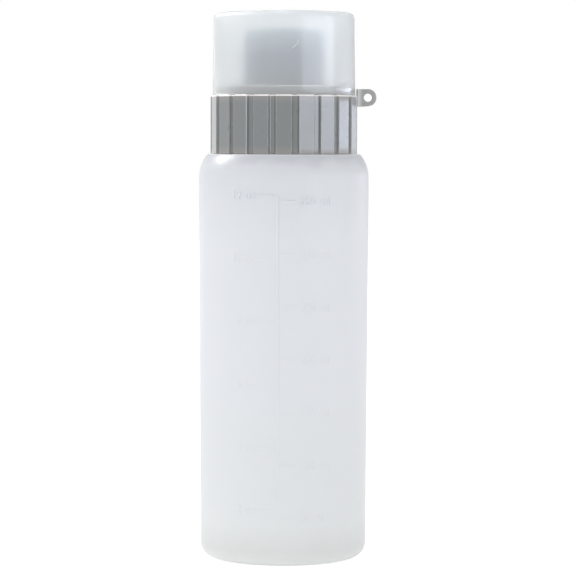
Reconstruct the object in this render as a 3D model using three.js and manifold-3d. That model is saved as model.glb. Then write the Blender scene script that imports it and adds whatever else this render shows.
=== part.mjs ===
// Condiment squeeze bottle: a blown translucent bottle, a ribbed screw collar with a wide nozzle block,
// a sealing washer and a pull-off dust cap. Millimetres, +Z up, origin on the axis at the standing plane.

import * as THREE from "three";
import { mergeVertices } from "three/addons/utils/BufferGeometryUtils.js";
import Module from "manifold-3d";

const wasm = await Module();
wasm.setup();

// Bottle body
const BODY_DIAMETER = 61.0; // at the top of the straight side
const BODY_TAPER = 1.5; // how much narrower the side is just above the heel
const BODY_WALL = 1.0;
const SIDE_HEIGHT = 136.3; // where the straight side ends and the shoulder begins
const SHOULDER_RADIUS = 13.2;
const SHOULDER_SWEEP = 40.65; // degrees of the shoulder's arc up to the ledge round the neck
const LEDGE_EDGE_ROUND = 0.8;
const HEEL_RADIUS = 5.0;
const STANDING_RING_WIDTH = 2.4; // flat ring that touches the table
const BASE_PUSH_UP = 2.6; // height of the base's middle over the table

// Neck and the screw threads
const NECK_DIAMETER = 44.2;
const NECK_WALL = 1.7;
const NECK_HEIGHT = 17.8; // over the ledge
const THREAD_PITCH = 4.0;
const THREAD_DEPTH = 1.1;
const THREAD_ROOT_WIDTH = 1.6;
const THREAD_CREST_WIDTH = 0.8;
const THREAD_TURNS = 1.25;
const THREAD_RISE = 8.3; // from the ledge to the start of the neck's thread
const THREAD_FLANK_CLEARANCE = 0.4; // along the axis, between the two threads
const THREAD_RADIAL_CLEARANCE = 0.4; // between one thread's crest and the other's wall
const THREAD_FADE_TURNS = 0.1; // each thread runs out over this much of a turn
const THREAD_BEDDING = 0.25; // how deep a thread's root is sunk in its own wall

// Sealing washer
const WASHER_THICKNESS = 1.2;
const WASHER_OVERHANG = 0.3; // its bore is this much inside the neck's bore
const WASHER_EDGE_CLEARANCE = 0.5; // between its rim and the skirt

// Collar
const COLLAR_LIFT = 0.4; // gap between the ledge and the skirt's lower edge
const SKIRT_WALL = 2.75;
const DECK_THICKNESS = 2.0;
const COLLAR_EDGE_ROUND = 0.6;
const GROOVE_COUNT = 20;
const GROOVE_DEPTH = 0.9;
const GROOVE_WIDTH = 2.8;
const GROOVE_FLOOR_WIDTH = 1.6;
const PANEL_STEPS = 3; // straight steps along each panel between grooves

// Nozzle block with its outlets
const BLOCK_BASE_DIAMETER = 30.3;
const BLOCK_DRAFT = 1.5; // how much narrower the block is at its top
const BLOCK_HEIGHT = 23.6; // over the deck
const BLOCK_WALL = 1.5;
const BLOCK_EDGE_ROUND = 0.8;
const DISH_DEPTH = 2.2; // the outlets stand in this dish, below the block's rim
const DISH_RIM_WIDTH = 1.4;
const OUTLET_RING_DIAMETER = 14.6;
const OUTLETS_ON_RING = 4;
const OUTLET_BASE_DIAMETER = 6.4;
const OUTLET_TIP_DIAMETER = 4.4;
const OUTLET_TIP_DROP = 0.3; // tips end this far below the block's rim
const OUTLET_BORE_DIAMETER = 2.4;

// Dust cap and the spigot it sits on
const CAP_SETBACK = 0.75; // from the collar's side in to the cap's side
const CAP_DRAFT = 0.7; // how much narrower the cap is at its top
const CAP_WALL = 1.2;
const CAP_HEADROOM = 4.5; // over the block, under the edge of the cap's top
const CAP_CROWN = 0.6; // its middle over the edge of its top
const CAP_EDGE_RADIUS = 2.0;
const SPIGOT_CLEARANCE = 0.3;
const SPIGOT_HEIGHT = 3.2;
const SPIGOT_WALL = 1.6;
const SPIGOT_BEAD = 0.35; // how far the bead stands out of the spigot's side
const BEAD_START = 0.3; // where the bead starts, widens and ends, as shares of the spigot's height
const BEAD_LOW = 0.45;
const BEAD_HIGH = 0.65;

// Hanging eye on the collar's side
const EYE_PROJECTION = 6.85; // from the collar's side to its far end
const EYE_HOLE_DIAMETER = 2.9;
const EYE_RADIUS = 3.1;
const EYE_RISE = 2.3; // its top over the deck
const EYE_ROOT_DEPTH = 4.2; // how far below the deck its root reaches
const EYE_THICKNESS = 2.4;
const EYE_EDGE_ROUND = 0.3;
const EYE_CAP_CLEARANCE = 0.35;
const EYE_BEDDING = 1.5; // how deep its root is sunk in the skirt

// Roundness of the mesh
const AROUND = 60;
const SMALL_AROUND = 16;
const HIDDEN_OVERLAP = 0.5; // how far joined shapes reach into each other before they become one
const SAME_POINT = 1e-5; // corners closer than this are one corner

const POLYETHYLENE_MILKY = { color: 0xdfe3e8, roughness: 0.42, metalness: 0 };
const POLYPROPYLENE_GREY = { color: 0x8b9093, roughness: 0.45, metalness: 0 };
const POLYPROPYLENE_FROSTED = { color: 0xe6eaee, roughness: 0.3, metalness: 0 };
const FOAM_WHITE = { color: 0xdcdcd6, roughness: 0.7, metalness: 0 };

// Heights and radii that follow from the sizes above
const bodyRadius = BODY_DIAMETER / 2;
const heelTopRadius = bodyRadius - BODY_TAPER / 2;
const ledgeHeight = SIDE_HEIGHT + SHOULDER_RADIUS * Math.sin(THREE.MathUtils.degToRad(SHOULDER_SWEEP));
const neckRadius = NECK_DIAMETER / 2;
const neckBore = neckRadius - NECK_WALL;
const neckTop = ledgeHeight + NECK_HEIGHT;
const skirtBore = neckRadius + THREAD_DEPTH + THREAD_RADIAL_CLEARANCE;
const collarRadius = skirtBore + SKIRT_WALL;
const collarBottom = ledgeHeight + COLLAR_LIFT;
const deckUnderside = neckTop + WASHER_THICKNESS;
const deckTop = deckUnderside + DECK_THICKNESS;
const blockTop = deckTop + BLOCK_HEIGHT;
const dishFloor = blockTop - DISH_DEPTH;
const capRadius = collarRadius - CAP_SETBACK;
const spigotRadius = capRadius - CAP_WALL - SPIGOT_CLEARANCE;

/** A profile turned about Z. Points are [radius, height], up the outside and down the inside. */
function turned(points, segments = AROUND) {
  const geometry = new THREE.LatheGeometry(
    points.map(([radius, height]) => new THREE.Vector2(Math.max(radius, 0), height)),
    segments,
  );
  return solid(geometry.rotateX(Math.PI / 2));
}

/** Points of an arc in [radius, height], with angles in degrees. */
function arc(centreRadius, centreHeight, radius, from, to, steps) {
  return Array.from({ length: steps + 1 }, (_, i) => {
    const angle = THREE.MathUtils.degToRad(from + ((to - from) * i) / steps);
    return [centreRadius + radius * Math.cos(angle), centreHeight + radius * Math.sin(angle)];
  });
}

/** The angle in degrees at which a circle reaches a height over its centre. */
function angleAtHeight(height, radius) {
  return THREE.MathUtils.radToDeg(Math.asin(height / radius));
}

/** A closed solid from a three.js geometry. */
function solid(geometry) {
  const bare = geometry.clone();
  bare.deleteAttribute("normal");
  bare.deleteAttribute("uv");
  const merged = mergeVertices(bare, SAME_POINT);
  const corners = Array.from(merged.index.array);
  const kept = [];
  for (let i = 0; i < corners.length; i += 3) {
    const [a, b, c] = corners.slice(i, i + 3);
    if (a !== b && b !== c && c !== a) kept.push(a, b, c);
  }
  return new wasm.Manifold(
    new wasm.Mesh({
      numProp: 3,
      vertProperties: new Float32Array(merged.attributes.position.array),
      triVerts: new Uint32Array(kept),
    }),
  );
}

/** A named mesh from a solid. */
function piece(name, body, finish) {
  const result = body.getMesh();
  const geometry = new THREE.BufferGeometry();
  geometry.setAttribute("position", new THREE.BufferAttribute(new Float32Array(result.vertProperties), 3));
  geometry.setIndex(new THREE.BufferAttribute(new Uint32Array(result.triVerts), 1));
  geometry.computeVertexNormals();
  const mesh = new THREE.Mesh(geometry, new THREE.MeshStandardMaterial(finish));
  mesh.name = name;
  return mesh;
}

/** A screw thread: a straight bar wrapped round the axis. side is 1 outward and -1 inward. */
function thread(wallRadius, side, startHeight) {
  const root = THREAD_ROOT_WIDTH / 2;
  const crest = THREAD_CREST_WIDTH / 2;
  const section = new THREE.Shape([
    new THREE.Vector2(0, -root),
    new THREE.Vector2(THREAD_DEPTH, -crest),
    new THREE.Vector2(THREAD_DEPTH, crest),
    new THREE.Vector2(0, root),
  ]);
  const steps = Math.round(AROUND * THREAD_TURNS);
  const bar = new THREE.ExtrudeGeometry(section, { depth: THREAD_TURNS, steps, bevelEnabled: false });
  const place = bar.attributes.position;
  for (let i = 0; i < place.count; i += 1) {
    const turns = place.getZ(i);
    const fade = Math.min(1, turns / THREAD_FADE_TURNS, (THREAD_TURNS - turns) / THREAD_FADE_TURNS);
    const height = place.getX(i) > 0 ? place.getX(i) * fade : -THREAD_BEDDING;
    const radius = wallRadius + side * height;
    const angle = 2 * Math.PI * turns;
    const rise = THREAD_PITCH * turns - side * place.getY(i);
    place.setXYZ(i, radius * Math.cos(angle), radius * Math.sin(angle), startHeight + rise);
  }
  return solid(bar);
}

/** The height of the base's push-up at a radius, as points from the axis out to the standing ring. */
function pushUp(ringInner, lift, steps = 4) {
  return Array.from({ length: steps + 1 }, (_, i) => {
    const share = i / steps;
    return [ringInner * share, lift + (BASE_PUSH_UP * (1 + Math.cos(Math.PI * share))) / 2];
  });
}

/** The blown bottle: base, heel, side, shoulder and threaded neck, hollow and open at the mouth. */
function makeBottleBody() {
  const shoulderCentre = bodyRadius - SHOULDER_RADIUS;
  const shoulderRise = ledgeHeight - SIDE_HEIGHT;
  const edgeAngle = angleAtHeight(shoulderRise - LEDGE_EDGE_ROUND, SHOULDER_RADIUS - LEDGE_EDGE_ROUND);
  const edgeReach = (SHOULDER_RADIUS - LEDGE_EDGE_ROUND) * Math.cos(THREE.MathUtils.degToRad(edgeAngle));
  const innerAngle = angleAtHeight(shoulderRise - BODY_WALL, SHOULDER_RADIUS - BODY_WALL);
  const heelCentre = heelTopRadius - HEEL_RADIUS;
  const ringInner = heelCentre - STANDING_RING_WIDTH;
  const edgeCentre = shoulderCentre + edgeReach;
  const outside = [
    ...pushUp(ringInner, 0),
    ...arc(heelCentre, HEEL_RADIUS, HEEL_RADIUS, -90, 0, 5),
    ...arc(shoulderCentre, SIDE_HEIGHT, SHOULDER_RADIUS, 0, edgeAngle, 6),
    ...arc(edgeCentre, ledgeHeight - LEDGE_EDGE_ROUND, LEDGE_EDGE_ROUND, edgeAngle, 90, 2).slice(1),
    [neckRadius, ledgeHeight],
    [neckRadius, neckTop],
  ];
  const inside = [
    [neckBore, neckTop],
    [neckBore, ledgeHeight - BODY_WALL],
    ...arc(shoulderCentre, SIDE_HEIGHT, SHOULDER_RADIUS - BODY_WALL, innerAngle, 0, 4),
    ...arc(heelCentre, HEEL_RADIUS, HEEL_RADIUS - BODY_WALL, 0, -90, 4),
    ...pushUp(ringInner, BODY_WALL).reverse(),
  ];
  return turned([...outside, ...inside]).add(thread(neckRadius, 1, ledgeHeight + THREAD_RISE));
}

/** The soft ring between the neck's rim and the collar's deck. */
function makeSealingWasher() {
  const inner = neckBore - WASHER_OVERHANG;
  const outer = skirtBore - WASHER_EDGE_CLEARANCE;
  return turned([
    [inner, neckTop],
    [outer, neckTop],
    [outer, deckUnderside],
    [inner, deckUnderside],
    [inner, neckTop],
  ]);
}

/** The collar's outline seen from above: panels and shallow grooves, with a panel behind the eye. */
function collarOutline() {
  const pitch = (2 * Math.PI) / GROOVE_COUNT;
  const halfGroove = GROOVE_WIDTH / 2 / collarRadius;
  const halfFloor = GROOVE_FLOOR_WIDTH / 2 / collarRadius;
  const points = [];
  const addPoint = (angle, radius) => {
    points.push(new THREE.Vector2(radius * Math.cos(angle), radius * Math.sin(angle)));
  };
  for (let groove = 0; groove < GROOVE_COUNT; groove += 1) {
    const middle = (groove + 0.5) * pitch;
    addPoint(middle - halfFloor, collarRadius - GROOVE_DEPTH);
    addPoint(middle + halfFloor, collarRadius - GROOVE_DEPTH);
    for (let step = 0; step <= PANEL_STEPS; step += 1) {
      addPoint(middle + halfGroove + ((pitch - 2 * halfGroove) * step) / PANEL_STEPS, collarRadius);
    }
  }
  return new THREE.Shape(points);
}

/** The ribbed cup of the collar, with its top and bottom edges rounded. */
function collarCup() {
  const blank = new THREE.ExtrudeGeometry(collarOutline(), {
    depth: deckTop - collarBottom - 2 * COLLAR_EDGE_ROUND,
    steps: 1,
    bevelSize: COLLAR_EDGE_ROUND,
    bevelOffset: -COLLAR_EDGE_ROUND,
    bevelThickness: COLLAR_EDGE_ROUND,
    bevelSegments: 2,
  }).translate(0, 0, collarBottom + COLLAR_EDGE_ROUND);
  const cavity = turned([
    [0, collarBottom - HIDDEN_OVERLAP],
    [skirtBore, collarBottom - HIDDEN_OVERLAP],
    [skirtBore, deckUnderside],
    [0, deckUnderside],
  ]);
  return solid(blank).subtract(cavity);
}

/** The low ring that the dust cap is pushed over. */
function spigot() {
  const side = spigotRadius - SPIGOT_BEAD;
  const inner = side - SPIGOT_WALL;
  const top = deckTop + SPIGOT_HEIGHT;
  return turned([
    [inner, deckTop - HIDDEN_OVERLAP],
    [side, deckTop - HIDDEN_OVERLAP],
    [side, deckTop + SPIGOT_HEIGHT * BEAD_START],
    [spigotRadius, deckTop + SPIGOT_HEIGHT * BEAD_LOW],
    [spigotRadius, deckTop + SPIGOT_HEIGHT * BEAD_HIGH],
    [side, top],
    [inner, top],
    [inner, deckTop - HIDDEN_OVERLAP],
  ]);
}

/** The wide block: its outer form with the dish in its top. */
function blockOutside() {
  const base = BLOCK_BASE_DIAMETER / 2;
  const top = base - BLOCK_DRAFT / 2;
  const dish = top - DISH_RIM_WIDTH;
  return turned([
    [0, deckUnderside],
    [base, deckUnderside],
    [base, deckTop],
    ...arc(top - BLOCK_EDGE_ROUND, blockTop - BLOCK_EDGE_ROUND, BLOCK_EDGE_ROUND, 0, 90, 2),
    [dish, blockTop],
    [dish, dishFloor],
    [0, dishFloor],
  ]);
}

/** The hollow under the block, open down into the bottle. */
function blockHollow() {
  const base = BLOCK_BASE_DIAMETER / 2 - BLOCK_WALL;
  return turned([
    [0, deckUnderside - HIDDEN_OVERLAP],
    [base, deckUnderside - HIDDEN_OVERLAP],
    [base, deckTop],
    [base - BLOCK_DRAFT / 2, dishFloor - BLOCK_WALL],
    [0, dishFloor - BLOCK_WALL],
  ]);
}

/** A plain round bar or cone along Z between two heights. */
function taperedBar(lowDiameter, highDiameter, low, high, x, y) {
  const bar = new THREE.CylinderGeometry(highDiameter / 2, lowDiameter / 2, high - low, SMALL_AROUND);
  return solid(bar.rotateX(Math.PI / 2).translate(x, y, (low + high) / 2));
}

/** Where the outlets stand: one in the middle and the rest on a ring. */
function outletPlaces() {
  const ring = Array.from({ length: OUTLETS_ON_RING }, (_, i) => {
    const angle = (2 * Math.PI * (i + 0.5)) / OUTLETS_ON_RING;
    return [(OUTLET_RING_DIAMETER / 2) * Math.cos(angle), (OUTLET_RING_DIAMETER / 2) * Math.sin(angle)];
  });
  return [[0, 0], ...ring];
}

/** The eye: a flat tab with a round end and a hole, standing clear of the dust cap. */
function hangingEye() {
  const middle = collarRadius + EYE_PROJECTION - EYE_RADIUS;
  const height = deckTop + EYE_RISE - EYE_RADIUS;
  const root = collarRadius - EYE_BEDDING;
  const clearOfCap = capRadius + EYE_CAP_CLEARANCE;
  const outline = new THREE.Shape();
  outline.moveTo(root, deckTop - EYE_ROOT_DEPTH);
  outline.lineTo(middle, height - EYE_RADIUS);
  outline.absarc(middle, height, EYE_RADIUS, -Math.PI / 2, Math.PI / 2, false);
  outline.lineTo(clearOfCap, height + EYE_RADIUS);
  outline.lineTo(clearOfCap, deckTop - COLLAR_EDGE_ROUND);
  outline.lineTo(root, deckTop - COLLAR_EDGE_ROUND);
  outline.closePath();
  const hole = new THREE.Path();
  hole.absarc(middle, height, EYE_HOLE_DIAMETER / 2, 0, 2 * Math.PI, true);
  outline.holes.push(hole);
  const tab = new THREE.ExtrudeGeometry(outline, {
    depth: EYE_THICKNESS - 2 * EYE_EDGE_ROUND,
    steps: 1,
    curveSegments: SMALL_AROUND / 2,
    bevelSize: EYE_EDGE_ROUND,
    bevelOffset: -EYE_EDGE_ROUND,
    bevelThickness: EYE_EDGE_ROUND,
    bevelSegments: 1,
  });
  return solid(tab.translate(0, 0, EYE_EDGE_ROUND - EYE_THICKNESS / 2).rotateX(Math.PI / 2));
}

/** The one-piece moulding: ribbed cup, inside thread, spigot, nozzle block, outlets and eye. */
function makeNozzleCollar() {
  const flankStep = (THREAD_ROOT_WIDTH + THREAD_CREST_WIDTH) / 2 + THREAD_FLANK_CLEARANCE;
  let collar = collarCup()
    .add(thread(skirtBore, -1, ledgeHeight + THREAD_RISE - flankStep))
    .add(spigot())
    .add(hangingEye())
    .add(blockOutside())
    .subtract(blockHollow());
  const foot = dishFloor - HIDDEN_OVERLAP;
  const tip = blockTop - OUTLET_TIP_DROP;
  const boreBottom = dishFloor - BLOCK_WALL - HIDDEN_OVERLAP;
  const boreTop = blockTop + HIDDEN_OVERLAP;
  for (const [x, y] of outletPlaces()) {
    collar = collar
      .add(taperedBar(OUTLET_BASE_DIAMETER, OUTLET_TIP_DIAMETER, foot, tip, x, y))
      .subtract(taperedBar(OUTLET_BORE_DIAMETER, OUTLET_BORE_DIAMETER, boreBottom, boreTop, x, y));
  }
  return collar;
}

/** The dust cap: a thin cup, mouth down, with a slightly crowned top. */
function makeDustCap() {
  const shoulder = blockTop + CAP_HEADROOM + CAP_WALL;
  const top = shoulder + CAP_CROWN;
  const topRadius = capRadius - CAP_DRAFT / 2;
  const corner = topRadius - CAP_EDGE_RADIUS;
  const centreHeight = shoulder - CAP_EDGE_RADIUS;
  const halfway = [corner / 2, shoulder + CAP_CROWN * 0.75]; // on the crown's parabola
  return turned([
    [capRadius, deckTop],
    ...arc(corner, centreHeight, CAP_EDGE_RADIUS, 0, 90, 4),
    halfway,
    [0, top],
    [0, top - CAP_WALL],
    [halfway[0], halfway[1] - CAP_WALL],
    ...arc(corner, centreHeight, CAP_EDGE_RADIUS - CAP_WALL, 90, 0, 3),
    [capRadius - CAP_WALL, deckTop],
    [capRadius, deckTop],
  ]);
}

const bottle = new THREE.Group();
bottle.add(piece("bottle_body", makeBottleBody(), POLYETHYLENE_MILKY));
bottle.add(piece("sealing_washer", makeSealingWasher(), FOAM_WHITE));
bottle.add(piece("nozzle_collar", makeNozzleCollar(), POLYPROPYLENE_GREY));
bottle.add(piece("dust_cap", makeDustCap(), POLYPROPYLENE_FROSTED));

export default bottle;
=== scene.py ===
"""Dresses the condiment squeeze bottle: moulded forms, plastic finishes, a studio and the camera."""

import logging
import math
from dataclasses import dataclass
from enum import Enum
from typing import Callable, Optional, Sequence

import bmesh
import bpy
from mathutils import Matrix, Vector


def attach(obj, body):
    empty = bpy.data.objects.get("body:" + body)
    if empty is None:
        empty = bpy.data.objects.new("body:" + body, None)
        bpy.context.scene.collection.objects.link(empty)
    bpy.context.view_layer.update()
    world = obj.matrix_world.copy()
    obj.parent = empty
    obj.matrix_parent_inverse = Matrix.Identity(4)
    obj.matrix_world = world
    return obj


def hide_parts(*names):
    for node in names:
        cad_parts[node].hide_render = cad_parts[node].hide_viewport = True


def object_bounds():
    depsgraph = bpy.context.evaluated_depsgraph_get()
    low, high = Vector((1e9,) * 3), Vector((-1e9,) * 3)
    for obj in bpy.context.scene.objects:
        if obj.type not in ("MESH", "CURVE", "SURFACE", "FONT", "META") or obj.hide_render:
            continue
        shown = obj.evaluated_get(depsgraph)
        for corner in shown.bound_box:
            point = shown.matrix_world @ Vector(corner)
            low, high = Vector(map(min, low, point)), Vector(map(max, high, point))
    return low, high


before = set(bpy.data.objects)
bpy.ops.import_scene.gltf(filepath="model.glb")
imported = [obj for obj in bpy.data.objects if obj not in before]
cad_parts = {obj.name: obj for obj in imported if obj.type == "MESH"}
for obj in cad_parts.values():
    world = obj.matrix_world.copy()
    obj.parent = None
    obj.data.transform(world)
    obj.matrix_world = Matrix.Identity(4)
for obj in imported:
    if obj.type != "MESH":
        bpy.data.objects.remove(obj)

LOG = logging.getLogger("squeeze_bottle")
CAD_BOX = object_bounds()

MM = 0.001
SAME_POINT = 1e-4  # corners closer than this, in millimetres, are one corner
Point = tuple[float, float]
Colour = tuple[float, float, float]
Reshape = Callable[[float, float, float], Point]


class Body(Enum):
    """The bodies of the frame that pieces ride on."""

    BOTTLE = "bottle"
    SEAL = "seal"
    COLLAR = "collar"
    CAP = "cap"


class Slot(Enum):
    """The record's material slots."""

    MILKY = "milky_polyethylene"
    GREY = "grey_polypropylene"
    FROSTED = "frosted_polypropylene"
    WASHER = "white_washer"


class Join(Enum):
    """How a second solid changes the first."""

    ADD = "UNION"
    CUT = "DIFFERENCE"


@dataclass(frozen=True)
class Corner:
    """One corner of a turned outline, in millimetres.

    Args:
        radius: distance from the axis.
        height: height over the standing plane.
        rounding: radius of the arc that softens the corner.
        steps: number of straight steps in that arc.
    """

    radius: float
    height: float
    rounding: float = 0.0
    steps: int = 5


def rounded_outline(corners: Sequence[Corner]) -> list[Point]:
    """Turns corners with roundings into a smooth outline.

    Args:
        corners: the outline's corners in order; the first and last stay sharp.

    Returns:
        Points of (radius, height) in millimetres.
    """
    points: list[Point] = [(corners[0].radius, corners[0].height)]
    for before, corner, after in zip(corners, corners[1:], corners[2:]):
        here = Vector((corner.radius, corner.height))
        back = Vector((before.radius, before.height)) - here
        ahead = Vector((after.radius, after.height)) - here
        half = back.angle(ahead) / 2.0
        if corner.rounding <= 0.0 or half > math.radians(89.0):
            points.append((here.x, here.y))
            continue
        reach = min(corner.rounding / math.tan(half), 0.49 * back.length, 0.49 * ahead.length)
        middle = (back.normalized() + ahead.normalized()).normalized()
        centre = here + middle * (reach / math.cos(half))
        first = (here + back.normalized() * reach - centre).normalized()
        last = (here + ahead.normalized() * reach - centre).normalized()
        for step in range(corner.steps + 1):
            place = centre + first.slerp(last, step / corner.steps) * reach * math.tan(half)
            points.append((place.x, place.y))
    points.append((corners[-1].radius, corners[-1].height))
    return points


def arc(centre: Point, radius: float, start: float, end: float, steps: int) -> list[Point]:
    """Points of a circular arc.

    Args:
        centre: the arc's centre as (radius, height).
        radius: the arc's own radius.
        start: first angle in degrees.
        end: last angle in degrees.
        steps: number of straight steps.

    Returns:
        Points of (radius, height).
    """
    spokes = [math.radians(start + (end - start) * step / steps) for step in range(steps + 1)]
    return [(centre[0] + radius * math.cos(a), centre[1] + radius * math.sin(a)) for a in spokes]


def subdivided(points: Sequence[Point], longest: float) -> list[Point]:
    """Adds points along an outline so that no straight step is longer than a limit.

    Args:
        points: the outline.
        longest: longest step, in the outline's units.

    Returns:
        The outline with the added points.
    """
    result = [points[0]]
    for (r0, z0), (r1, z1) in zip(points, points[1:]):
        count = max(1, math.ceil(math.hypot(r1 - r0, z1 - z0) / longest))
        result.extend((r0 + (r1 - r0) * i / count, z0 + (z1 - z0) * i / count) for i in range(1, count + 1))
    return result


def even_angles(count: int) -> list[float]:
    """Angles in radians, evenly spaced round the axis."""
    return [2.0 * math.pi * i / count for i in range(count)]


def linked(name: str, data: bpy.types.ID) -> bpy.types.Object:
    """A new object with this data, linked to the scene."""
    made = bpy.data.objects.new(name, data)
    bpy.context.scene.collection.objects.link(made)
    return made


def face_outward(mesh: bpy.types.Mesh) -> None:
    """Merges doubled corners and turns all faces outward.

    Args:
        mesh: a closed mesh, in millimetres.
    """
    closed = bmesh.new()
    closed.from_mesh(mesh)
    bmesh.ops.remove_doubles(closed, verts=closed.verts, dist=SAME_POINT)
    bmesh.ops.recalc_face_normals(closed, faces=closed.faces)
    closed.to_mesh(mesh)
    closed.free()


def closed_object(name: str, vertices: list, faces: list) -> bpy.types.Object:
    """A linked object from vertices and faces, with its faces pointing out.

    Args:
        name: the object's name.
        vertices: corner places in millimetres.
        faces: corner numbers of each face.

    Returns:
        The new object, still in millimetres.
    """
    mesh = bpy.data.meshes.new(name)
    mesh.from_pydata(vertices, [], faces)
    face_outward(mesh)
    return linked(name, mesh)


def turned_solid(
    name: str, outline: Sequence[Point], angles: Sequence[float], reshape: Optional[Reshape] = None
) -> bpy.types.Object:
    """A solid of revolution about the axis.

    Args:
        name: the object's name.
        outline: (radius, height) points that start and end on the axis, or close on themselves.
        angles: where its vertices lie round the axis, in radians.
        reshape: gives the (radius, height) of a vertex from its angle, radius and height.

    Returns:
        The new object, in millimetres.
    """
    vertices: list[tuple[float, float, float]] = []
    rings: list[list[int]] = []
    for radius, height in outline:
        if radius < SAME_POINT:
            vertices.append((0.0, 0.0, height))
            rings.append([len(vertices) - 1] * len(angles))
            continue
        ring = []
        for angle in angles:
            r, z = reshape(angle, radius, height) if reshape else (radius, height)
            vertices.append((r * math.cos(angle), r * math.sin(angle), z))
            ring.append(len(vertices) - 1)
        rings.append(ring)
    faces = []
    for low, high in zip(rings, rings[1:]):
        for i in range(len(angles)):
            j = (i + 1) % len(angles)
            face = list(dict.fromkeys((low[i], low[j], high[j], high[i])))
            if len(face) > 2:
                faces.append(face)
    return closed_object(name, vertices, faces)


def mesh_from_curve(curve: bpy.types.Curve) -> bpy.types.Object:
    """A closed mesh object from a curve or a text.

    Args:
        curve: the curve, in millimetres, which is used up.

    Returns:
        The linked object, with its faces pointing out.
    """
    drawn = linked(curve.name, curve)
    graph = bpy.context.evaluated_depsgraph_get()
    mesh = bpy.data.meshes.new_from_object(drawn.evaluated_get(graph))
    bpy.data.objects.remove(drawn)
    face_outward(mesh)
    return linked(curve.name, mesh)


def combine(body: bpy.types.Object, tool: bpy.types.Object, how: Join) -> bpy.types.Object:
    """Joins or cuts one closed solid with another, which is used up.

    Args:
        body: the solid that stays.
        tool: the solid that is added or cut away.
        how: whether to add or to cut.

    Returns:
        The body, with its new mesh.
    """
    step = body.modifiers.new(how.value, "BOOLEAN")
    step.operation = how.value
    step.solver = "MANIFOLD"
    step.object = tool
    graph = bpy.context.evaluated_depsgraph_get()
    result = bpy.data.meshes.new_from_object(body.evaluated_get(graph))
    before = len(body.data.vertices)
    body.modifiers.clear()
    if len(result.vertices) == 0:
        raise ValueError(f"joining {tool.name} to {body.name} left nothing of {before} corners")
    body.data = result
    bpy.data.objects.remove(tool)
    return body


def finish_mesh(made: bpy.types.Object, crease: float = 32.0) -> None:
    """Scales a solid to metres and shades it smooth, with edges sharper than the crease kept sharp.

    Args:
        made: the solid, in millimetres.
        crease: the angle in degrees over which an edge stays sharp.
    """
    shaped = bmesh.new()
    shaped.from_mesh(made.data)
    for face in shaped.faces:
        face.smooth = True
    for edge in shaped.edges:
        edge.smooth = edge.calc_face_angle(0.0) < math.radians(crease)
    shaped.to_mesh(made.data)
    shaped.free()
    made.data.transform(Matrix.Scale(MM, 4))
    made.data.update()


def dress(made: bpy.types.Object, body: Body, slot: Slot, finish: bpy.types.Material, *nodes: str) -> None:
    """Gives a piece its finish, its body and the nodes that it stands for.

    Args:
        made: the finished piece, in metres.
        body: the body that it rides on.
        slot: the record's material slot; not used.
        finish: its material.
        nodes: CAD nodes that it replaces.
    """
    made.data.materials.clear()
    made.data.materials.append(finish)
    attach(made, body.value)
    if nodes:
        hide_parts(*nodes)
    LOG.info("%s: %d faces, rides on %s", made.name, len(made.data.polygons), body.value)


@dataclass(frozen=True)
class ScrewThread:
    """A right-hand screw thread on a wall, in millimetres."""

    wall_radius: float
    outward: int
    start_height: float
    pitch: float = 4.0
    depth: float = 1.1
    root_width: float = 1.6
    crest_width: float = 0.8
    turns: float = 1.25
    fade_turns: float = 0.1
    bedding: float = 0.25
    steps_per_turn: int = 144

    def build(self, name: str) -> bpy.types.Object:
        """Builds the thread as one closed ridge.

        Args:
            name: the object's name.

        Returns:
            The ridge, in millimetres.
        """
        steps = round(self.turns * self.steps_per_turn)
        vertices = []
        for step in range(steps + 1):
            turn = self.turns * step / steps
            fade = max(min(1.0, turn / self.fade_turns, (self.turns - turn) / self.fade_turns), 0.02)
            section = [
                (-self.bedding, -self.root_width / 2),
                (self.depth * fade, -self.crest_width / 2),
                (self.depth * fade, self.crest_width / 2),
                (-self.bedding, self.root_width / 2),
            ]
            angle = 2.0 * math.pi * turn
            for height, across in section:
                radius = self.wall_radius + self.outward * height
                z = self.start_height + self.pitch * turn + across
                vertices.append((radius * math.cos(angle), radius * math.sin(angle), z))
        faces = [[0, 1, 2, 3], [4 * steps + i for i in (3, 2, 1, 0)]]
        for step in range(steps):
            low, high = 4 * step, 4 * step + 4
            faces.extend([low + i, low + (i + 1) % 4, high + (i + 1) % 4, high + i] for i in range(4))
        return closed_object(name, vertices, faces)


def opaque(colour: object) -> object:
    """A plain colour with its alpha; a socket stays as it is."""
    return colour if isinstance(colour, bpy.types.NodeSocket) else (*colour, 1.0)


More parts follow.
